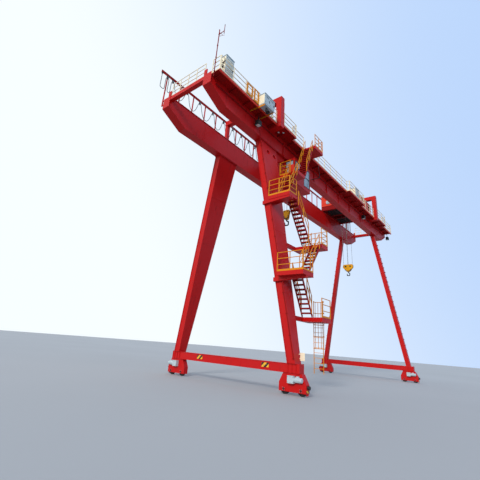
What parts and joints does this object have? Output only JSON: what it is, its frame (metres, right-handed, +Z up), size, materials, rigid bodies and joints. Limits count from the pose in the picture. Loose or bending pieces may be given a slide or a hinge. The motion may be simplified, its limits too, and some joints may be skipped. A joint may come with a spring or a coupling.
{
  "type": "double girder gantry crane",
  "caption": "Red double girder gantry crane: two box girders on splayed box legs, two trolleys with hoists, walkway, stair tower, festoon line and operator's cab.",
  "frame": {"origin": "middle of the bounding box at the level of the gantry rails' top", "axes": "+X along the girders from the near cantilever to the far one, +Y to the festoon side, +Z up"},
  "size_m": [34.33, 10.945, 20.9],
  "materials": {
    "red_enamel": "gloss red enamel on steel plate",
    "rail_paint": "cream enamel on handrail steel",
    "ochre_paint": "ochre yellow enamel",
    "hook_yellow": "yellow enamel on the hook blocks",
    "cabinet_grey": "light grey powder coat",
    "dark_steel": "dark bare steel",
    "rail_steel": "rolled rail steel",
    "wire_rope": "greased wire rope",
    "black_rubber": "black rubber",
    "cab_glass": "grey tinted glass",
    "galvanised": "galvanised steel"
  },
  "bodies": {
    "gantry": {"bogies": "red_enamel", "buffers": "black_rubber", "cab_glass": "cab_glass", "cab_shell": "red_enamel", "cabinets": "cabinet_grey", "end_railings": "rail_paint", "end_ties": "red_enamel", "far_legs": "red_enamel", "festoon_beam": "red_enamel", "festoon_cable_far": "black_rubber", "festoon_cable_near": "black_rubber", "festoon_carriers": "dark_steel", "festoon_posts": "red_enamel", "floodlights": "dark_steel", "gantry_drives": "cabinet_grey", "gantry_wheels": "dark_steel", "girders": "red_enamel", "ladder": "ochre_paint", "landings": "red_enamel", "leg_rungs": "red_enamel", "mast": "galvanised", "near_legs": "red_enamel", "rail_stops": "red_enamel", "saddles": "red_enamel", "sill_beams": "red_enamel", "stair_flight_top": "red_enamel", "stair_flights_low": "red_enamel", "stair_railings": "ochre_paint", "trolley_rails": "rail_steel", "walkway": "red_enamel", "walkway_brackets": "red_enamel", "walkway_railings": "rail_paint"},
    "main_trolley": {"main_trolley_frame": "red_enamel", "main_trolley_wheels": "dark_steel", "main_hoist_machinery": "dark_steel", "main_trolley_house": "red_enamel", "main_ropes": "wire_rope"},
    "main_hook_block": {"main_hook_block": "hook_yellow"},
    "main_hook": {"main_hook": "dark_steel"},
    "aux_trolley": {"aux_trolley_frame": "red_enamel", "aux_trolley_wheels": "dark_steel", "aux_hoist_machinery": "dark_steel", "aux_ropes": "wire_rope"},
    "aux_hook_block": {"aux_hook_block": "hook_yellow"},
    "aux_hook": {"aux_hook": "dark_steel"}
  },
  "joints": [
    {"name": "main_trolley_travel", "type": "slide", "parent": "gantry", "child": "main_trolley", "axis": [1, 0, 0], "range_m": [-5.1, 4.5]},
    {"name": "main_hoist", "type": "slide", "parent": "main_trolley", "child": "main_hook_block", "axis": [0, 0, 1], "range_m": [-8, 4.3], "deforming": ["main_ropes"]},
    {"name": "main_hook_swivel", "type": "hinge", "parent": "main_hook_block", "child": "main_hook", "pos_m": [9.385, 0.0775, 10.85], "axis": [0, 0, 1], "continuous": true},
    {"name": "aux_trolley_travel", "type": "slide", "parent": "gantry", "child": "aux_trolley", "axis": [1, 0, 0], "range_m": [-11.2, 3.8]},
    {"name": "aux_hoist", "type": "slide", "parent": "aux_trolley", "child": "aux_hook_block", "axis": [0, 0, 1], "range_m": [-9.7, 2.8], "deforming": ["aux_ropes"]},
    {"name": "aux_hook_swivel", "type": "hinge", "parent": "aux_hook_block", "child": "aux_hook", "pos_m": [-4.015, 0.0775, 12.6], "axis": [0, 0, 1], "continuous": true}
  ]
}
